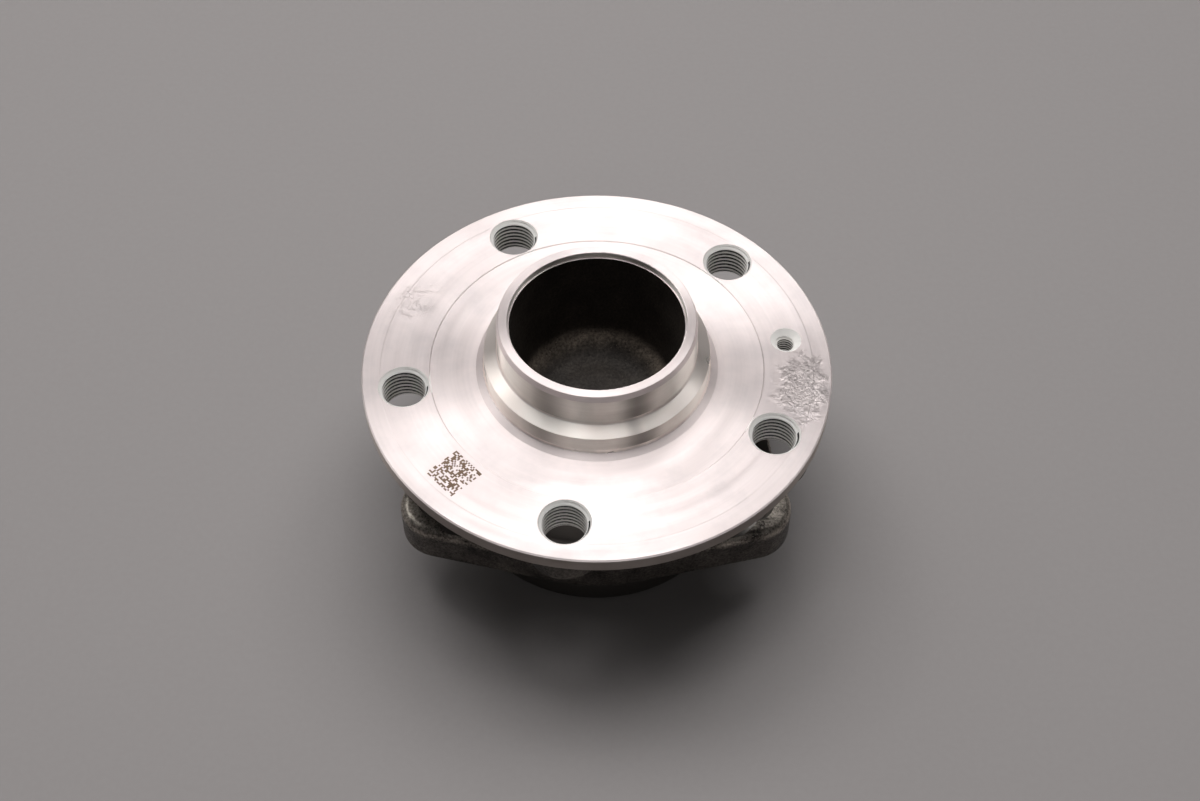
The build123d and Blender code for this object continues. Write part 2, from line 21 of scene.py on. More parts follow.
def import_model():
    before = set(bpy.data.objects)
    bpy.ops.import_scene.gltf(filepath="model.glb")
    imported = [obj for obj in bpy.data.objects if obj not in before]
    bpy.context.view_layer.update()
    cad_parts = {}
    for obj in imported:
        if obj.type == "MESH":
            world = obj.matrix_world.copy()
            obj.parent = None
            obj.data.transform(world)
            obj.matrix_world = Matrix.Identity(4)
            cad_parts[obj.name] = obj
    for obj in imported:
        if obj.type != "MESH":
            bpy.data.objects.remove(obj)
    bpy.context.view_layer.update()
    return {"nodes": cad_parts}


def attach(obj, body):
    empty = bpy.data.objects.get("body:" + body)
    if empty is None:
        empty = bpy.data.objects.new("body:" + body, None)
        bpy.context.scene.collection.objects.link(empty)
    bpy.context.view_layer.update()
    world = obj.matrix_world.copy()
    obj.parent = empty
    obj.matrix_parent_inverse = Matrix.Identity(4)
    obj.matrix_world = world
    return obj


LOG = logging.getLogger("hub_bearing")
MM = 0.001

Point = tuple[float, float, float]
Range = tuple[float, float]
Setting = float | Sequence[float] | bpy.types.Node | bpy.types.NodeSocket

# Socket numbers of the Mix node, which has several sockets of one name
MIX_A, MIX_B = 2, 3
MIX_COLOUR_A, MIX_COLOUR_B = 6, 7

# A quarter turn from the tangent spreads a highlight across the tool's rings
ACROSS_RINGS = 0.25


def linear(hex_colour: str) -> tuple[float, float, float, float]:
    """Turn an sRGB colour into the linear values that shaders take.

    Args:
        hex_colour: six hex digits after a hash.

    Returns:
        Linear red, green and blue, and an alpha of 1.
    """
    parts = [int(hex_colour[i:i + 2], 16) / 255 for i in (1, 3, 5)]
    red, green, blue = (c / 12.92 if c <= 0.04045 else ((c + 0.055) / 1.055) ** 2.4 for c in parts)
    return red, green, blue, 1.0


def on_circle(radius: float, angle: float) -> tuple[float, float]:
    """Place on a circle about the axis, with the angle in degrees."""
    return radius * cos(radians(angle)), radius * sin(radians(angle))


def between(values: np.ndarray, limits: Range) -> np.ndarray:
    """Tell which values lie inside the limits."""
    return (values > limits[0]) & (values < limits[1])


@dataclass
class Graph:
    """A node tree under construction."""

    tree: bpy.types.NodeTree

    def add(self, kind: str, inputs: dict[int | str, Setting] | None = None,
            **settings: object) -> bpy.types.Node:
        """Add one node with its settings and links.

        Args:
            kind: the node's type, without "ShaderNode".
            inputs: by socket name or index, a value to set, or a node or socket to link.
            settings: the node's own properties.

        Returns:
            The new node. Linked as a whole, it gives its first enabled output.
        """
        node = self.tree.nodes.new("ShaderNode" + kind)
        for name, value in settings.items():
            setattr(node, name, value)
        for key, value in (inputs or {}).items():
            if isinstance(value, bpy.types.Node):
                value = next(out for out in value.outputs if out.enabled)
            if isinstance(value, bpy.types.NodeSocket):
                self.tree.links.new(value, node.inputs[key])
            else:
                node.inputs[key].default_value = value
        return node

    def math(self, operation: str, *values: Setting, clamp: bool = False) -> bpy.types.Node:
        """Add a math node with its values in their order."""
        return self.add("Math", dict(enumerate(values)), operation=operation, use_clamp=clamp)

    def noise(self, place: Setting, scale: float, detail: float, roughness: float = 0.5,
              distortion: float = 0.0) -> bpy.types.Node:
        """Add noise.

        Args:
            place: where to read it.
            scale: how many of its largest lumps fit in one unit of the place.
            detail: octaves.
            roughness: share of each octave that the next finer one has.
            distortion: how far the lumps are dragged about.

        Returns:
            The noise node, from 0 to 1.
        """
        return self.add("TexNoise", {"Vector": place, "Scale": scale, "Detail": detail,
                                     "Roughness": roughness, "Distortion": distortion})

    def remap(self, value: Setting, source: Range, target: Range = (0.0, 1.0),
              smooth: bool = False) -> bpy.types.Node:
        """Map one range to another, held at its ends.

        Args:
            value: the value to map.
            source: its range.
            target: the range that it gets.
            smooth: whether the map eases in and out.

        Returns:
            The node that gives the mapped value.
        """
        return self.add("MapRange", {"Value": value, "From Min": source[0], "From Max": source[1],
                                     "To Min": target[0], "To Max": target[1]},
                        interpolation_type="SMOOTHSTEP" if smooth else "LINEAR")

    def mix(self, share: Setting, under: Setting, over: Setting, blend: str = "MIX") -> bpy.types.Node:
        """Blend two colours.

        Args:
            share: how far the second colour covers the first, from 0 to 1.
            under: the first colour.
            over: the second colour.
            blend: the way they blend.

        Returns:
            The node that gives the colour.
        """
        return self.add("Mix", {0: share, MIX_COLOUR_A: under, MIX_COLOUR_B: over},
                        data_type="RGBA", blend_type=blend)

    def surface(self, inputs: dict[int | str, Setting], height: Setting | None = None) -> None:
        """Add the surface, its relief and the output.

        Args:
            inputs: the surface's own inputs.
            height: height of the relief in millimetres, or None where there is none.
        """
        if height is not None:
            bump = self.add("Bump", {"Height": height, "Strength": 1.0, "Distance": MM})
            inputs = inputs | {"Normal": bump}
        self.add("OutputMaterial", {"Surface": self.add("BsdfPrincipled", inputs)})


def new_material(name: str) -> tuple[bpy.types.Material, Graph]:
    """Make an empty node material and the graph to fill it with."""
    material = bpy.data.materials.new(name)
    material.use_nodes = True
    material.node_tree.nodes.clear()
    return material, Graph(material.node_tree)


def place_in_mm(graph: Graph) -> bpy.types.Node:
    """Add the object coordinates in millimetres."""
    place = graph.add("TexCoord").outputs["Object"]
    return graph.add("VectorMath", {0: place, "Scale": 1 / MM}, operation="SCALE")


@dataclass(frozen=True)
class LathedPlace:
    """What a turned finish reads of a point: its place, radius, height and run along the profile."""

    place: bpy.types.Node
    radius: bpy.types.Node
    height: bpy.types.NodeSocket
    run: bpy.types.Node
    tangent: bpy.types.Node

    CLIMB: ClassVar[float] = 1.7

    @classmethod
    def of(cls, graph: Graph) -> "LathedPlace":
        """Work the values out from the object coordinates.

        The radius is the length of (x, y). The run is radius + 1.7 height, which grows along flats,
        walls and 45 degree chamfers alike. The tangent is Z x P, the way that the tool went.

        Args:
            graph: the material's graph.

        Returns:
            The nodes that give them.
        """
        place = place_in_mm(graph)
        height = graph.add("SeparateXYZ", {0: place}).outputs["Z"]
        flat = graph.add("VectorMath", {0: place, 1: (1, 1, 0)}, operation="MULTIPLY")
        radius = graph.add("VectorMath", {0: flat}, operation="LENGTH").outputs["Value"]
        run = graph.math("MULTIPLY_ADD", height, cls.CLIMB, radius)
        around = graph.add("VectorMath", {0: (0, 0, 1), 1: flat}, operation="CROSS_PRODUCT")
        tangent = graph.add("VectorTransform", {0: around}, vector_type="VECTOR",
                            convert_from="OBJECT", convert_to="WORLD")
        return cls(place, radius, height, run, tangent)

    def rings(self, graph: Graph, spacing: float, reach: float, detail: float = 2.0) -> bpy.types.Node:
        """Add noise that is drawn out into rings about the axis.

        Args:
            graph: the material's graph.
            spacing: width of a ring, in millimetres.
            reach: how far a ring runs before it changes, in millimetres.
            detail: octaves of the noise.

        Returns:
            The noise node, from 0 to 1.
        """
        across = graph.math("MULTIPLY", self.run, 1 / spacing)
        along = graph.add("VectorMath", {0: self.place, "Scale": 1 / reach}, operation="SCALE")
        parts = graph.add("SeparateXYZ", {0: along})
        point = graph.add("CombineXYZ", {"X": across, "Y": parts.outputs["X"], "Z": parts.outputs["Y"]})
        return graph.noise(point, 1.0, detail)

    def turned_past(self, graph: Graph, angle: float) -> bpy.types.Node:
        """Add how far a point is turned about the axis past an angle.

        Args:
            graph: the material's graph.
            angle: the angle, in degrees from +X.

        Returns:
            The node that gives it, in radians.
        """
        parts = graph.add("SeparateXYZ", {0: self.place})
        turn = graph.math("ARCTAN2", parts.outputs["Y"], parts.outputs["X"])
        return graph.math("SUBTRACT", turn, radians(angle))


@dataclass(frozen=True)
class EtchedPatch:
    """A square of plain random cells, etched on the flange by a laser."""

    circle_r: float = 55.6
    angle: float = -134.8
    turn: float = 43.0
    side: float = 11.0
    cells: int = 22
    dark_share: float = 0.5
    colour: str = "#86705F"
    roughness: float = 0.6

    def mask(self, graph: Graph, place: bpy.types.Node) -> bpy.types.Node:
        """Add the mask of the dark cells.

        The place is moved and turned into the patch, measured in cells, and each whole cell gets a
        random number. Cells under the dark share are dark, inside the square only.

        Args:
            graph: the material's graph.
            place: the place in millimetres.

        Returns:
            The node that is 1 in a dark cell.
        """
        pitch = self.side / self.cells
        local = graph.add("Mapping", {"Vector": place,
                                      "Location": (*on_circle(self.circle_r, self.angle), 0),
                                      "Rotation": (0, 0, radians(self.turn)),
                                      "Scale": (pitch, pitch, 1)}, vector_type="TEXTURE")
        cell = graph.add("VectorMath", {0: local}, operation="FLOOR")
        number = graph.add("TexWhiteNoise", {"Vector": cell}, noise_dimensions="2D").outputs["Value"]
        dark = graph.math("LESS_THAN", number, self.dark_share)
        size = graph.add("VectorMath", {0: local}, operation="ABSOLUTE")
        parts = graph.add("SeparateXYZ", {0: size})
        far = graph.math("MAXIMUM", parts.outputs["X"], parts.outputs["Y"])
        inside = graph.math("LESS_THAN", far, self.cells / 2)
        return graph.math("MULTIPLY", dark, inside)


@dataclass(frozen=True)
class Bruise:
    """A patch of the flange face that was knocked about in handling.

    Its edge fades between two distances, counted in half sizes, to which a noise is added.
    """

    circle_r: float
    angle: float
    half_width: float
    half_angle: float
    depth: float

    RAGGED_SCALE: ClassVar[float] = 0.22
    RAGGED_WEIGHT: ClassVar[float] = 1.3
    FADE: ClassVar[Range] = (0.95, 1.75)

    def mask(self, graph: Graph, lathed: LathedPlace) -> bpy.types.Node:
        """Add the mask of the patch, an oval drawn in radius and angle with a ragged edge.

        Args:
            graph: the material's graph.
            lathed: the place on the turned part.

        Returns:
            The node that gives the mask, from 0 to the patch's depth.
        """
        turn = lathed.turned_past(graph, self.angle)
        across = graph.math("SUBTRACT", lathed.radius, self.circle_r)
        u = graph.math("MULTIPLY", turn, 1 / radians(self.half_angle))
        v = graph.math("MULTIPLY", across, 1 / self.half_width)
        point = graph.add("CombineXYZ", {"X": u, "Y": v})
        far = graph.add("VectorMath", {0: point}, operation="LENGTH").outputs["Value"]
        ragged = graph.noise(lathed.place, self.RAGGED_SCALE, 3.0)
        far = graph.math("MULTIPLY_ADD", ragged, self.RAGGED_WEIGHT, far)
        return graph.remap(far, self.FADE, (self.depth, 0.0), smooth=True)


@dataclass(frozen=True)
class PaintedReflectionStripe:
    """A dark stripe painted down a turned wall at one angle: a painted reflection of a dark part of the
    surroundings, fixed to the part.
    """

    angle: float
    half_angle: float
    depth: float

    def mask(self, graph: Graph, lathed: LathedPlace) -> bpy.types.Node:
        """Add the mask of the stripe: its depth on the middle line, fading to 0 at both sides.

        Args:
            graph: the material's graph.
            lathed: the place on the turned part.

        Returns:
            The node that gives the mask.
        """
        off = graph.math("ABSOLUTE", lathed.turned_past(graph, self.angle))
        return graph.remap(off, (0.0, radians(self.half_angle)), (self.depth, 0.0), smooth=True)


@dataclass(frozen=True)
class TurnedSteel:
    """Carbon steel as the lathe leaves it.

    The tool's rings spread each highlight across themselves, so a face is bright along the line of
    sight and darker to the sides. The rings are too fine to show, so they are drawn at 0.9 mm.
    Sizes are millimetres, and a scale counts the lumps of a noise in one millimetre.
    """

    colour: str = "#E6DAD8"
    stain: str = "#D4CAC9"
    worn: str = "#A39B98"
    # Colour of the painted reflection stripes
    painted_stripe_colour: str = "#5C5853"
    roughness: float = 0.42
    anisotropy: float = 1.0
    ring_spacing: float = 0.9
    ring_reach: float = 60.0
    ring_depth: float = 0.004
    ring_shade: Range = (0.96, 1.03)
    pass_spacing: float = 4.5
    pass_reach: float = 30.0
    stain_scale: float = 0.06
    band_r: float = 62.6
    band_half_width: float = 0.25
    band_depth: float = 0.1
    wear: float = 0.5
    peel_height: float = 0.36
    scratch_depth: float = 0.2
    pinhole_depth: float = 0.12
    patch: EtchedPatch = EtchedPatch()
    bruises: tuple[Bruise, ...] = (
        Bruise(circle_r=60.0, angle=-8.0, half_width=8.0, half_angle=13.0, depth=0.65),
        Bruise(circle_r=59.0, angle=157.0, half_width=7.0, half_angle=12.0, depth=0.12),
    )
    # Painted reflection: dark stripes at set angles, standing for dark surroundings mirrored in the
    # steel
    runs: tuple[PaintedReflectionStripe, ...] = ()

    def material(self, name: str, face_height: float) -> bpy.types.Material:
        """Make the material.

        Args:
            name: its name.
            face_height: height of the wheel face, where patch and bruises lie.

        Returns:
            The material.
        """
        material, graph = new_material(name)
        lathed = LathedPlace.of(graph)
        fine = lathed.rings(graph, self.ring_spacing, self.ring_reach, 3.0)
        broad = lathed.rings(graph, self.pass_spacing, self.pass_reach)
        cloud = graph.noise(lathed.place, self.stain_scale, 4.0, 0.6)
        on_face = graph.math("GREATER_THAN", lathed.height, face_height - 0.05)
        etched = graph.math("MULTIPLY", self.patch.mask(graph, lathed.place), on_face)

        colour = graph.mix(graph.remap(cloud, (0.45, 0.75)), linear(self.colour), linear(self.stain))
        shade = graph.remap(fine, (0.25, 0.75), self.ring_shade)
        colour = graph.mix(1.0, colour, shade, "MULTIPLY")
        colour = graph.mix(etched, colour, linear(self.patch.colour))
        # Painted reflection: each stripe darkens the colour over a range of angles
        for run in self.runs:
            colour = graph.mix(run.mask(graph, lathed), colour, linear(self.painted_stripe_colour))

        rough = graph.remap(broad, (0.3, 0.7), (self.roughness - 0.03, self.roughness + 0.04))
        rough = graph.add("Mix", {0: etched, MIX_A: rough, MIX_B: self.patch.roughness})

        band = (self.band_r - self.band_half_width, self.band_r + self.band_half_width)
        step = graph.remap(lathed.radius, band, (0.0, -self.band_depth), smooth=True)
        height = graph.math("ADD", graph.math("MULTIPLY", fine, self.ring_depth), step)
        dents = self.dents(graph, lathed)
        for bruise in self.bruises:
            mask = graph.math("MULTIPLY", bruise.mask(graph, lathed), on_face)
            height = graph.math("MULTIPLY_ADD", dents, mask, height)
            colour = graph.mix(graph.math("MULTIPLY", mask, self.wear), colour, linear(self.worn))
        graph.surface({"Base Color": colour, "Metallic": 1.0, "Roughness": rough,
                       "Anisotropic": self.anisotropy, "Anisotropic Rotation": ACROSS_RINGS,
                       "Tangent": lathed.tangent}, height)
        return material

    def dents(self, graph: Graph, lathed: LathedPlace) -> bpy.types.Node:
        """Add the relief of a bruise: orange peel, ragged scratches and pinholes.

        A scratch runs where a coarse noise crosses its middle, and a pinhole lies at a peak of a
        fine one.

        Args:
            graph: the material's graph.
            lathed: the place on the turned part.

        Returns:
            The node that gives the height, in millimetres.
        """
        peel = graph.noise(lathed.place, 1.1, 4.0, 0.7)
        ragged = graph.noise(lathed.place, 0.16, 7.0, 0.72, 0.8)
        crossed = graph.math("COMPARE", ragged, 0.5, 0.016)
        pinhole = graph.remap(peel, (0.66, 0.72), (0.0, -self.pinhole_depth))
        scratch = graph.math("MULTIPLY_ADD", crossed, -self.scratch_depth, pinhole)
        return graph.math("MULTIPLY_ADD", peel, self.peel_height, scratch)


@dataclass(frozen=True)
class ForgedSteel:
    """Shot-blasted forging with its dark scale: dimples of about 0.8 mm, with bright specks of
    worn-through metal painted in at random as glints."""

    colour: str = "#262220"
    bare_and_glint: str = "#E2D7CA"
    roughness: float = 0.42
    metallic: float = 0.8
    grain: float = 0.8
    depth: float = 0.12
    cloud_scale: float = 0.12
    point_scale: float = 2.4
    # A band about this height is lighter, partly edge wear and partly a painted highlight; by default it
    # lies on the ears' top edge
    wear_and_highlight_height: float = 32.4
    wear_and_highlight_reach: float = 2.8
    elsewhere: float = 0.2

    def material(self, name: str) -> bpy.types.Material:
        """Make the material under this name.

        The scale is worn through in clouds, and bright specks are painted in as glints. Both gather
        about one height, where the forging has an edge, as wear and as a painted highlight band.
        """
        material, graph = new_material(name)
        place = place_in_mm(graph)
        height = graph.add("SeparateXYZ", {0: place}).outputs["Z"]
        off = graph.math("ABSOLUTE", graph.math("SUBTRACT", height, self.wear_and_highlight_height))
        near = graph.remap(off, (0.0, self.wear_and_highlight_reach), (1.0, self.elsewhere), smooth=True)
        grain = graph.noise(place, 1 / self.grain, 4.0, 0.65)
        cloud = graph.noise(place, self.cloud_scale, 3.0)
        point = graph.noise(place, self.point_scale, 1.0)
        worn = graph.remap(graph.math("MULTIPLY", grain, cloud), (0.12, 0.42))
        # Painted glints: the peaks of a fine noise take the light colour
        worn = graph.math("ADD", worn, graph.remap(point, (0.66, 0.8)))
        # Strongest in a band about one height: wear there, and a painted highlight
        worn = graph.math("MULTIPLY", worn, near, clamp=True)
        colour = graph.mix(worn, linear(self.colour), linear(self.bare_and_glint))
        rough = graph.remap(grain, (0.3, 0.7), (self.roughness + 0.1, self.roughness - 0.1))
        graph.surface({"Base Color": colour, "Metallic": self.metallic, "Roughness": rough},
                      graph.math("MULTIPLY", grain, self.depth))
        return material


@dataclass(frozen=True)
class RoundSteel:
    """Steel that is ground, pressed or bored about the axis: even rings, less bright than a face cut."""

    colour: str = "#B5B3B2"
    roughness: float = 0.3
    anisotropy: float = 0.5
    ring_spacing: float = 0.6
    ring_reach: float = 25.0
    ring_depth: float = 0.01
    contrast: float = 0.06

    def material(self, name: str) -> bpy.types.Material:
        """Make the material under this name."""
        material, graph = new_material(name)
        lathed = LathedPlace.of(graph)
        rings = lathed.rings(graph, self.ring_spacing, self.ring_reach, 3.0)
        shade = graph.remap(rings, (0.25, 0.75), (1 - self.contrast, 1 + self.contrast))
        colour = graph.mix(1.0, linear(self.colour), shade, "MULTIPLY")
        rough = graph.remap(rings, (0.0, 1.0), (self.roughness - 0.06, self.roughness + 0.06))
        graph.surface({"Base Color": colour, "Metallic": 1.0, "Roughness": rough,
                       "Anisotropic": self.anisotropy, "Anisotropic Rotation": ACROSS_RINGS,
                       "Tangent": lathed.tangent}, graph.math("MULTIPLY", rings, self.ring_depth))
        return material


@dataclass(frozen=True)
class Moulded:
    """Moulded polymer or rubber, with the fine grain of its tool."""

    colour: str
    tint: str
    roughness: float
    ior: float
    grain: float
    depth: float = 0.02

    def material(self, name: str) -> bpy.types.Material:
        """Make the material under this name."""
        material, graph = new_material(name)
        grain = graph.noise(place_in_mm(graph), 1 / self.grain, 4.0)
        colour = graph.mix(grain, linear(self.colour), linear(self.tint))
        rough = graph.remap(grain, (0.0, 1.0), (self.roughness - 0.08, self.roughness + 0.08))
        graph.surface({"Base Color": colour, "Roughness": rough, "IOR": self.ior},
                      graph.math("MULTIPLY", grain, self.depth))
        return material


@dataclass(frozen=True)
class CutThread:
    """Tapped steel: near-white crests, with flanks painted darker towards the roots as painted shade in
    the grooves.
    """

    crest: str = "#FFFCF8"
    # Colour of the painted shade at the roots
    root: str = "#15110F"
    roughness: float = 0.45
    metallic: float = 0.15

    def material(self, name: str) -> bpy.types.Material:
        """Make the material under this name. It reads the thread's own depth attribute."""
        material, graph = new_material(name)
        depth = graph.add("Attribute", attribute_name=InternalThread.DEPTH).outputs["Fac"]
        grain = graph.noise(place_in_mm(graph), 1.5, 3.0)
        # Painted shade: the deeper into the groove, the darker
        groove_shade = graph.math("MULTIPLY_ADD", grain, 0.3, depth)
        colour = graph.mix(graph.remap(groove_shade, (0.4, 0.6)), linear(self.crest), linear(self.root))
        rough = graph.remap(grain, (0.0, 1.0), (self.roughness - 0.08, self.roughness + 0.1))
        graph.surface({"Base Color": colour, "Metallic": self.metallic, "Roughness": rough})
        return material


def dress(node: bpy.types.Object, finishes: Sequence[bpy.types.Material],
          zones: Callable[[np.ndarray, np.ndarray], np.ndarray] | None = None) -> None:
    """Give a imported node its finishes.

    Args:
        node: the node's object.
        finishes: one material for each zone of the surface, in the order of the zones' numbers.
        zones: from the centre and upward slope of each face, gives its zone's number.
    """
    mesh = node.data
    mesh.materials.clear()
    for finish in finishes:
        mesh.materials.append(finish)
    if zones is None:
        return
    centres = np.empty(len(mesh.polygons) * 3, np.float32)
    normals = np.empty_like(centres)
    mesh.polygons.foreach_get("center", centres)
    mesh.polygons.foreach_get("normal", normals)
    numbers = zones(centres.reshape(-1, 3) / MM, normals.reshape(-1, 3)[:, 2])
    mesh.polygons.foreach_set("material_index", numbers.astype(np.int32))
    mesh.update()


@dataclass(frozen=True)
class InternalThread:
    """A tapped metric thread, as a sleeve that fills its plain bore from the crests outwards."""

    name: str
    centre: tuple[float, float]
    bore_r: float
    pitch: float
    low: float
    high: float
    mouth_r: float
    foot_r: float
    columns: int = 96
    # Length below the mouth that gets no painted shade
    unshaded_mouth_length: float = 0.9

    DEPTH: ClassVar[str] = "thread_depth"
    SKIN: ClassVar[float] = 0.015
    CREST_SHARE: ClassVar[float] = 0.5413

    @property
    def crest_r(self) -> float:
        """Minor radius of a 60 degree metric thread: major radius less 0.5413 pitch."""
        return self.bore_r - self.CREST_SHARE * self.pitch

    @property
    def root_r(self) -> float:
        """Radius of the roots and of the sleeve's back, a hair inside the bore."""
        return self.bore_r - self.SKIN

    def profile(self) -> tuple[np.ndarray, np.ndarray]:
        """Section of one pitch, from crest to crest.

        The crest is a quarter of a pitch wide and the root an eighth. Two points near each edge
        round it, as a worn tap does.

        Returns:
            Shares of the pitch, and depths from 0 at the crest to 1 at the root.
        """
        shares = np.array([0.0, 0.2, 0.27, 0.53, 0.58, 0.67, 0.72, 0.95])
        depths = np.array([0.0, 0.0, 0.08, 0.94, 1.0, 1.0, 0.94, 0.08])
        return shares, depths

    def helix(self) -> tuple[np.ndarray, np.ndarray, np.ndarray]:
        """Lay out the threaded side.

        Column c stands at angle 2 pi c / columns. Its points are the section's, repeated once a
        pitch, and raised by the pitch over one turn, so that each row follows the helix. Heights
        are held between the sleeve's ends, and the radius is never less than that of the lead-in
        cones, which rise at 45 degrees.

        Returns:
            Heights, radii and depths in the thread, with a line of them for each column.
        """
        shares, depths = self.profile()
        turns = int(np.ceil((self.high - self.low) / self.pitch)) + 2
        share = (np.arange(turns)[:, None] + shares[None, :]).ravel()
        depth = np.tile(depths, turns)[None, :]
        column = np.arange(self.columns)[:, None]
        z = self.low + self.pitch * (share[None, :] - 1 + column / self.columns)
        z = np.clip(z, self.low, self.high)
        thread_r = self.crest_r + (self.root_r - self.crest_r) * depth
        mouth = self.mouth_r - (self.high - z)
        foot = self.foot_r - (z - self.low)
        radius = np.maximum(np.maximum(thread_r, mouth), foot)
        # The depth carries the threads' painted shade; it is 0 on the lead-in cones and over a length
        # below the mouth
        depth = np.where((radius > thread_r) | (self.high - z < self.unshaded_mouth_length), 0.0, depth)
        radius = np.where(z <= self.low, self.foot_r, np.where(z >= self.high, self.mouth_r, radius))
        return z, radius, depth

    def back(self) -> tuple[np.ndarray, np.ndarray]:
        """Heights and radii of the side that lies against the bore, from the mouth down."""
        heights = [self.high, self.high - (self.mouth_r - self.root_r),
                   self.low + (self.foot_r - self.root_r), self.low]
        return np.array(heights), np.array([self.mouth_r, self.root_r, self.root_r, self.foot_r])

    def faces(self, rows: int, back_rows: int) -> list[list[int]]:
        """Join the points of neighbouring columns.

        On the threaded side the last column joins the first one a pitch higher.

        Args:
            rows: points of a column on the threaded side.
            back_rows: points of a column on the back.

        Returns:
            The faces, as numbers of points.
        """
        width = rows + back_rows
        here = np.arange(self.columns)
        after = (here + 1) % self.columns
        lift = np.where(here == self.columns - 1, len(self.profile()[0]), 0)
        row = np.arange(rows - 1)
        keep = row[None, :] + lift[:, None] + 1 < rows
        a = (here[:, None] * width + row)[keep]
        b = (after[:, None] * width + row + lift[:, None])[keep]
        ring = rows + np.arange(back_rows - 1)
        c = (here[:, None] * width + ring).ravel()
        d = (after[:, None] * width + ring).ravel()
        sides = [np.stack([p, p + 1, q + 1, q], axis=-1) for p, q in ((a, b), (c, d))]
        return np.vstack(sides).tolist()

    def surface(self) -> tuple[np.ndarray, list[list[int]], np.ndarray]:
        """Work out the sleeve from its threaded side and its back.

        Returns:
            Points in millimetres, faces, and each point's depth in the thread.
        """
        z, radius, depth = self.helix()
        back_z, back_r = self.back()
        rows, back_shape = z.shape[1], (self.columns, len(back_z))
        z = np.hstack([z, np.broadcast_to(back_z, back_shape)])
        radius = np.hstack([radius, np.broadcast_to(back_r, back_shape)])
        depth = np.hstack([depth, np.zeros(back_shape)])
        turn = 2 * np.pi * np.arange(self.columns)[:, None] / self.columns
        points = np.stack([self.centre[0] + radius * np.cos(turn),
                           self.centre[1] + radius * np.sin(turn), z], axis=-1).reshape(-1, 3)
        return points, self.faces(rows, len(back_z)), depth.ravel()

    def build(self, finish: bpy.types.Material) -> bpy.types.Object:
        """Make the sleeve's object, welded where its rows meet.

        Args:
            finish: its material.

        Returns:
            The object.
        """
        points, faces, depth = self.surface()
        mesh = bpy.data.meshes.new(self.name)
        mesh.from_pydata(points * MM, [], faces)
        attribute = mesh.attributes.new(self.DEPTH, "FLOAT", "POINT")
        attribute.data.foreach_set("value", depth.astype(np.float32))
        weld(mesh)
        mesh.materials.append(finish)
        piece = bpy.data.objects.new(self.name, mesh)
        bpy.context.scene.collection.objects.link(piece)
        return piece


def weld(mesh: bpy.types.Mesh, distance: float = 2e-6, crease: float = 38.0) -> None:
    """Merge doubled points, turn the faces outwards and smooth all but the sharp edges.

    Args:
        mesh: the mesh, in metres.
        distance: points nearer than this become one.
        crease: edges that turn by more than this many degrees stay sharp.
    """
    work = bmesh.new()
    work.from_mesh(mesh)
    bmesh.ops.remove_doubles(work, verts=work.verts, dist=distance)
    bmesh.ops.dissolve_degenerate(work, edges=work.edges, dist=distance)
    bmesh.ops.recalc_face_normals(work, faces=work.faces)
    work.to_mesh(mesh)
    work.free()
    mesh.shade_smooth()
    mesh.set_sharp_from_angle(angle=radians(crease))


class HubZone(IntEnum):
    """Finishes on the hub."""

    TURNED = 0
    FORGED = 1
    GROUND = 2
    PILOT = 3
    CUP = 4
    SUNK = 5
    RIM = 6
    CONE = 7


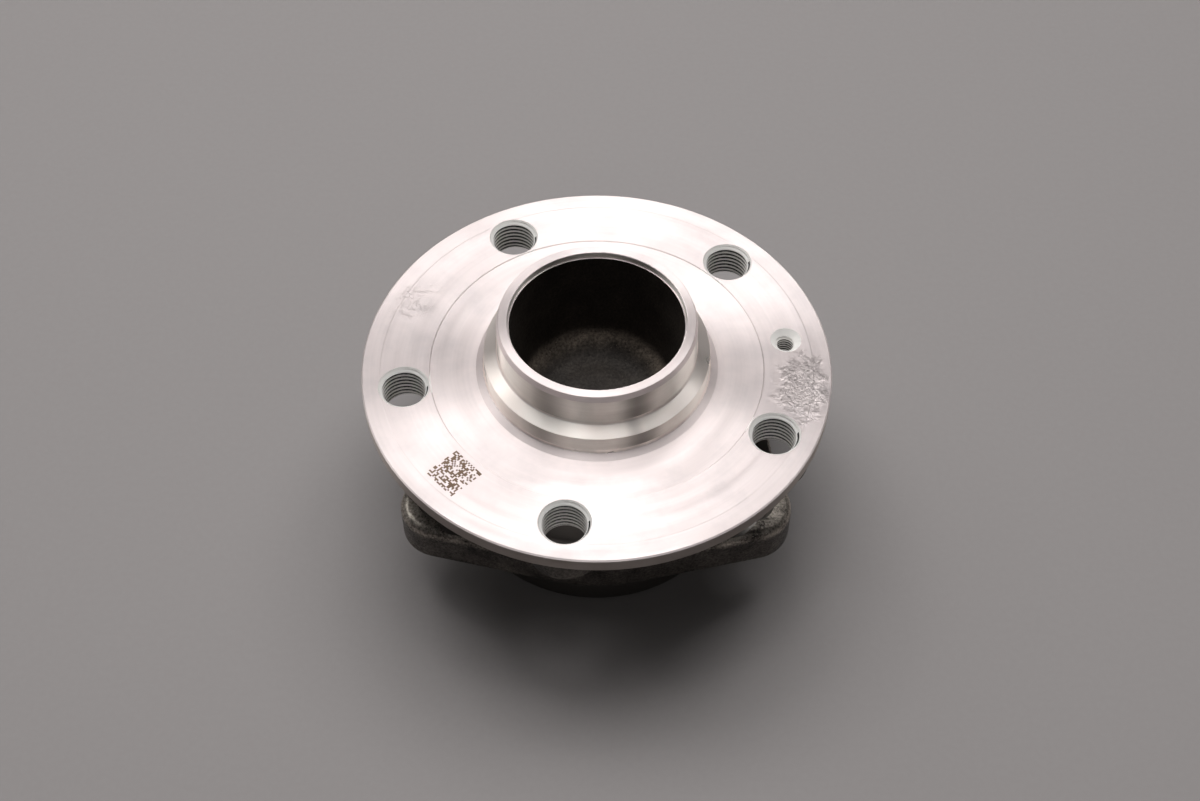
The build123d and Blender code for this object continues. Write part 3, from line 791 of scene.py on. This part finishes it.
@dataclass
class Hub:
    """Wheel flange with pilots, cup and threads, and the spindle below.

    A slope is the upward part of a face's normal: 1 on a flat, 0 on a wall.
    """

    face_height: float = 60.5
    pilot_r: float = 33.0
    pilot_low: float = 60.7
    cone_r: float = 28.6
    cone_slopes: Range = (0.3, 0.97)
    bevel_height: float = 76.0
    bevel_slope: float = 0.2
    rim_r: float = 67.9
    sink: float = 1.6
    sink_slopes: Range = (0.1, 0.95)
    cup_r: float = 24.95
    cup_heights: Range = (40.0, 78.15)
    web_height: float = 52.6
    root_height: float = 48.25
    root_r: float = 44.1
    ground_top: float = 48.35
    rim_back_height: float = 56.2
    bolt_count: int = 5
    bolt_circle_r: float = 56.0
    first_bolt_angle: float = 45.4
    bolt_r: float = 7.0
    bolt_pitch: float = 1.5
    bolt_mouth_r: float = 7.38
    end_gap: float = 0.01
    screw_r: float = 3.0
    screw_pitch: float = 1.0
    screw_top: float = 59.0
    screw_end_r: float = 2.98
    finish: TurnedSteel = field(default_factory=TurnedSteel)
    # Painted reflection stripes on the pilot walls and on the cone
    wall_painted_stripes: tuple[PaintedReflectionStripe, ...] = (
        PaintedReflectionStripe(angle=-170.0, half_angle=11.0, depth=0.6),
        PaintedReflectionStripe(angle=-118.0, half_angle=15.0, depth=0.45),
        PaintedReflectionStripe(angle=-67.0, half_angle=15.0, depth=0.7),
        PaintedReflectionStripe(angle=-9.0, half_angle=11.0, depth=0.4),
    )
    cone_painted_stripes: tuple[PaintedReflectionStripe, ...] = (PaintedReflectionStripe(angle=-70.0, half_angle=6.0, depth=0.3),)

    def zones(self, centres: np.ndarray, slope: np.ndarray) -> np.ndarray:
        """Forged in the cup and under the flange, ground on the spindle, and turned elsewhere."""
        radius, height = np.hypot(centres[:, 0], centres[:, 1]), centres[:, 2]
        cup = (radius < self.cup_r) & between(height, self.cup_heights)
        back = (radius > self.root_r) & between(height, (self.root_height, self.rim_back_height))
        bevel = (height > self.bevel_height) & (slope > self.bevel_slope)
        wall = (radius < self.pilot_r) & (height > self.pilot_low) & ~bevel
        zone = np.full(radius.shape, HubZone.TURNED)
        zone[wall] = HubZone.PILOT
        zone[wall & between(slope, self.cone_slopes) & (radius > self.cone_r)] = HubZone.CONE
        zone[radius > self.rim_r] = HubZone.RIM
        zone[back] = HubZone.FORGED
        zone[cup] = HubZone.CUP
        zone[(radius < self.root_r) & (height < self.ground_top) & ~cup] = HubZone.GROUND
        for thread in self.threads():
            away = np.hypot(centres[:, 0] - thread.centre[0], centres[:, 1] - thread.centre[1])
            zone[(away < thread.bore_r + self.sink) & between(slope, self.sink_slopes)] = HubZone.SUNK
        return zone

    def threads(self) -> list[InternalThread]:
        """The wheel bolt threads and the small thread of the disc's screw."""
        found = []
        for i in range(self.bolt_count):
            angle = self.first_bolt_angle + 360 / self.bolt_count * i
            found.append(InternalThread(
                f"wheel_bolt_thread_{i + 1}", on_circle(self.bolt_circle_r, angle), self.bolt_r,
                self.bolt_pitch, self.root_height + self.end_gap, self.face_height - self.end_gap,
                self.bolt_mouth_r, self.bolt_mouth_r))
        angle = self.first_bolt_angle - 180 / self.bolt_count
        found.append(InternalThread(
            "disc_screw_thread", on_circle(self.bolt_circle_r, angle), self.screw_r, self.screw_pitch,
            self.web_height, self.screw_top, self.screw_end_r, self.screw_end_r, columns=64))
        return found

    def build(self, nodes: dict[str, bpy.types.Object]) -> list[str]:
        """Dress the hub's nodes and cut its threads.

        Args:
            nodes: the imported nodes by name.

        Returns:
            Names of the new pieces.
        """
        # Lit and shaded copies of the face's steel: the pilots and cone are painted lighter and the rim
        # painted darker, as painted light and painted shade
        pilots = replace(self.finish, colour="#FAF5EE", stain="#EEE5DE", runs=self.wall_painted_stripes)
        rim = replace(self.finish, colour="#B9AFA9", stain="#A79C95")
        cone = replace(self.finish, colour="#FFF5EE", stain="#FAEEE6", roughness=0.3,
                       runs=self.cone_painted_stripes)
        # In the cup the lighter band lies on the fillet, partly wear and partly a painted highlight arc,
        # and the rest is darker
        cup = ForgedSteel(colour="#241E1A", bare_and_glint="#A39587", roughness=0.6, metallic=0.4,
                          wear_and_highlight_height=48.0, wear_and_highlight_reach=3.6, elsewhere=0.1)
        dress(nodes["hub_flange"], [
            self.finish.material("face-turned steel", self.face_height),
            ForgedSteel().material("forged steel, flange back"),
            RoundSteel().material("ground steel, spindle"),
            pilots.material("turned steel, pilots", self.face_height),
            cup.material("forged steel, cup"),
            CutThread().material("countersunk steel"),
            rim.material("turned steel, rim", self.face_height),
            cone.material("turned steel, cone", self.face_height),
        ], self.zones)
        race = RoundSteel(colour="#BDBDBE", roughness=0.22)
        dress(nodes["inner_ring"], [race.material("ground bearing steel")])
        thread = CutThread().material("tapped steel")
        names = []
        for item in self.threads():
            piece = item.build(thread)
            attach(piece, "hub")
            names.append(item.name)
        return names


class RingZone(IntEnum):
    """Finishes on the outer ring."""

    FORGED = 0
    MACHINED = 1


@dataclass
class OuterRing:
    """Fixed ring: barrel, mounting plate with four tapped ears, and knuckle spigot.

    A slope is the upward part of a face's normal, and the margin takes in faces at a height.
    """

    plate_low: float = 20.5
    plate_high: float = 33.5
    facing_r: float = 59.3
    facing_height: float = 33.1
    facing_slope: float = 0.99
    under_slope: float = -0.9
    barrel_r: float = 49.1
    spigot_r: float = 42.6
    spigot_top: float = 20.6
    inside_r: float = 41.6
    margin: float = 0.05
    ear_x: float = 45.5
    ear_y: float = 30.0
    ear_r: float = 6.0
    ear_pitch: float = 1.5
    ear_mouth_r: float = 6.38
    end_gap: float = 0.01

    def zones(self, centres: np.ndarray, slope: np.ndarray) -> np.ndarray:
        """Machined where it seats, runs or carries a bolt, and forged on the plate's outside."""
        radius, height = np.hypot(centres[:, 0], centres[:, 1]), centres[:, 2]
        zone = np.full(radius.shape, RingZone.FORGED)
        spigot = (radius < self.spigot_r) & (height < self.spigot_top)
        under = (height < self.plate_low + self.margin) & (slope < self.under_slope)
        facing = (radius < self.facing_r) & (height < self.facing_height + self.margin) \
            & (slope > self.facing_slope)
        barrel = (radius < self.barrel_r) & (height > self.facing_height - self.margin)
        inside = radius < self.inside_r
        zone[spigot | under | facing | barrel | inside] = RingZone.MACHINED
        return zone

    def build(self, nodes: dict[str, bpy.types.Object]) -> list[str]:
        """Dress the ring and cut the threads of its ears.

        Args:
            nodes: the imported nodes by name.

        Returns:
            Names of the new pieces.
        """
        machined = RoundSteel(colour="#85817D", roughness=0.38, anisotropy=0.4)
        dress(nodes["outer_ring"], [
            ForgedSteel().material("forged steel, plate"),
            machined.material("machined steel, ring"),
        ], self.zones)
        thread = CutThread(crest="#8F8983", root="#33302D").material("tapped steel, ears")
        names = []
        places = [(x, y) for x in (-self.ear_x, self.ear_x) for y in (-self.ear_y, self.ear_y)]
        for number, place in enumerate(places, 1):
            item = InternalThread(f"ear_thread_{number}", place, self.ear_r, self.ear_pitch,
                                  self.plate_low + self.end_gap, self.plate_high - self.end_gap,
                                  self.ear_mouth_r, self.ear_mouth_r)
            piece = item.build(thread)
            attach(piece, "fixed_ring")
            names.append(item.name)
        return names


@dataclass
class BallRows:
    """Two rows of balls in their snap-in cages."""

    rows: tuple[str, ...] = ("outboard", "inboard")

    def build(self, nodes: dict[str, bpy.types.Object]) -> list[str]:
        """Dress the balls and cages of both rows. No piece is added."""
        lapped = RoundSteel(colour="#D5D7DA", roughness=0.09, anisotropy=0.0, ring_spacing=3.0,
                            contrast=0.01)
        polyamide = Moulded(colour="#141415", tint="#242425", roughness=0.48, ior=1.53, grain=0.8)
        ball = lapped.material("lapped ball steel")
        cage = polyamide.material("glass-filled polyamide")
        for name, node in nodes.items():
            if name.startswith(self.rows):
                if "_ball_" in name:
                    dress(node, [ball])
                elif name.endswith("_cage"):
                    dress(node, [cage])
        return []


@dataclass
class Seals:
    """Outboard seal, inboard encoder and end cap."""

    def build(self, nodes: dict[str, bpy.types.Object]) -> list[str]:
        """Dress the sealing pieces. No piece is added."""
        pressed = RoundSteel(colour="#A7A9AA", roughness=0.34, anisotropy=0.3).material(
            "pressed stainless strip")
        drawn = RoundSteel(colour="#AAADB0", roughness=0.36, anisotropy=0.35,
                           ring_spacing=1.5).material("drawn sheet steel")
        rubber = Moulded(colour="#161616", tint="#222222", roughness=0.6, ior=1.5,
                         grain=0.5).material("nitrile rubber")
        magnet = Moulded(colour="#26221F", tint="#352F2A", roughness=0.5, ior=1.55,
                         grain=0.4).material("ferrite-filled rubber")
        finishes = {
            "outboard_slinger": pressed, "outboard_seal_case": pressed, "encoder_carrier": pressed,
            "outboard_seal_lips": rubber, "cap_gasket": rubber, "encoder_ring": magnet,
            "end_cap": drawn,
        }
        for name, finish in finishes.items():
            dress(nodes[name], [finish])
        return []


@dataclass(frozen=True)
class SoftBox:
    """A light behind a square of cloth. It stands off the part at an angle and faces it."""

    name: str
    azimuth: float
    elevation: float
    watts: float
    width: float = 0.5
    height: float = 0.5
    distance: float = 1.4
    colour: str = "#FFFFFF"

    def build(self, aim: Point) -> None:
        """Make the light, aimed at a point.

        Args:
            aim: the point, in metres.
        """
        light = bpy.data.lights.new(self.name, "AREA")
        light.shape = "RECTANGLE"
        light.size = self.width
        light.size_y = self.height
        light.energy = self.watts
        light.color = linear(self.colour)[:3]
        turn, lift = radians(self.azimuth), radians(self.elevation)
        back = np.array([sin(turn) * cos(lift), cos(turn) * cos(lift), sin(lift)])
        right = np.array([cos(turn), -sin(turn), 0.0])
        rows = np.column_stack([right, np.cross(back, right), back])
        lamp = bpy.data.objects.new(self.name, light)
        lamp.matrix_world = Matrix.Translation(np.array(aim) + back * self.distance) @ \
            Matrix(rows.tolist()).to_4x4()
        lamp.visible_camera = False
        bpy.context.scene.collection.objects.link(lamp)


@dataclass
class Studio:
    """Plain floor, soft lights and the camera. Lens and sensor are millimetres, the rest metres."""

    lens: float = 52.67
    sensor: float = 36.0
    nearest: float = 0.01
    elevation: float = 52.06
    roll: float = 0.339
    eye: Point = (0.00097, -0.32101, 0.45467)
    aim: Point = (0.0, 0.0, 0.06)
    floor_colour: str = "#989392"
    floor_roughness: float = 0.8
    floor_size: float = 8.0
    mottle: float = 0.015
    mottle_scale: float = 0.5
    surround: str = "#141313"
    lights: tuple[SoftBox, ...] = (
        SoftBox("softbox_left_low", -90.0, 18.0, 0.35),
        SoftBox("softbox_right_low", 90.0, 18.0, 0.30),
        SoftBox("softbox_left_middle", -60.0, 40.0, 1.17),
        SoftBox("softbox_back_left_middle", -30.0, 40.0, 0.49),
        SoftBox("softbox_back_right_middle", 30.0, 40.0, 0.46),
        SoftBox("softbox_front_strip", 171.0, 40.0, 0.75, width=1.6, height=0.15),
        SoftBox("softbox_back", 0.0, 60.0, 2.98),
        SoftBox("softbox_back_right", 45.0, 60.0, 3.35),
        SoftBox("softbox_back_left", -45.0, 60.0, 4.34),
        SoftBox("softbox_back_high", 0.0, 78.0, 3.08),
        SoftBox("softbox_right_high", 60.0, 78.0, 1.67),
        SoftBox("softbox_left_high", -60.0, 78.0, 1.41),
        SoftBox("softbox_front_left_high", -120.0, 78.0, 0.84),
        SoftBox("softbox_front_high", 180.0, 78.0, 0.64),
    )

    def camera(self) -> None:
        """Stand the camera at its place, tilted down by the elevation and turned by the roll."""
        lift, turn = radians(self.elevation), radians(self.roll)
        right, up = np.array([1.0, 0.0, 0.0]), np.array([0.0, sin(lift), cos(lift)])
        back = np.array([0.0, -cos(lift), sin(lift)])
        tilted = (right * cos(turn) + up * sin(turn), up * cos(turn) - right * sin(turn), back)
        camera = bpy.data.objects.new("camera", bpy.data.cameras.new("camera"))
        camera.data.sensor_width = self.sensor
        camera.data.lens = self.lens
        camera.data.clip_start = self.nearest
        camera.matrix_world = Matrix.Translation(self.eye) @ \
            Matrix(np.column_stack(tilted).tolist()).to_4x4()
        bpy.context.scene.collection.objects.link(camera)
        bpy.context.scene.camera = camera

    def floor(self) -> None:
        """Lay the floor: a painted board with a faint mottle."""
        half = self.floor_size / 2
        mesh = bpy.data.meshes.new("floor")
        mesh.from_pydata([(-half, -half, 0), (half, -half, 0), (half, half, 0), (-half, half, 0)], [],
                         [(0, 1, 2, 3)])
        material, graph = new_material("painted board")
        mottle = graph.noise(place_in_mm(graph), self.mottle_scale, 4.0)
        shade = graph.remap(mottle, (0.3, 0.7), (1 - self.mottle, 1 + self.mottle))
        colour = graph.mix(1.0, linear(self.floor_colour), shade, "MULTIPLY")
        graph.surface({"Base Color": colour, "Roughness": self.floor_roughness})
        mesh.materials.append(material)
        floor = bpy.data.objects.new("floor", mesh)
        bpy.context.scene.collection.objects.link(floor)

    def world(self) -> None:
        """Light the surroundings evenly, at a low level."""
        world = bpy.data.worlds.new("studio")
        world.use_nodes = True
        world.node_tree.nodes.clear()
        graph = Graph(world.node_tree)
        glow = graph.add("Background", {"Color": linear(self.surround), "Strength": 1.0})
        graph.add("OutputWorld", {"Surface": glow})
        bpy.context.scene.world = world

    def build(self) -> None:
        """Set the camera, floor, surroundings and lights."""
        bpy.context.scene.view_settings.view_transform = "Standard"
        self.camera()
        self.floor()
        self.world()
        for light in self.lights:
            light.build(self.aim)


def main() -> None:
    """Build the studio and dress the bearing, one sub-assembly after another."""
    logging.basicConfig(level=logging.INFO, format="%(name)s: %(message)s")
    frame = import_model()
    Studio().build()
    for part in (Hub(), OuterRing(), BallRows(), Seals()):
        names = part.build(frame["nodes"])
        LOG.info("%s dressed, new pieces: %s", type(part).__name__, ", ".join(names) or "none")


if __name__ == "__main__":
    main()
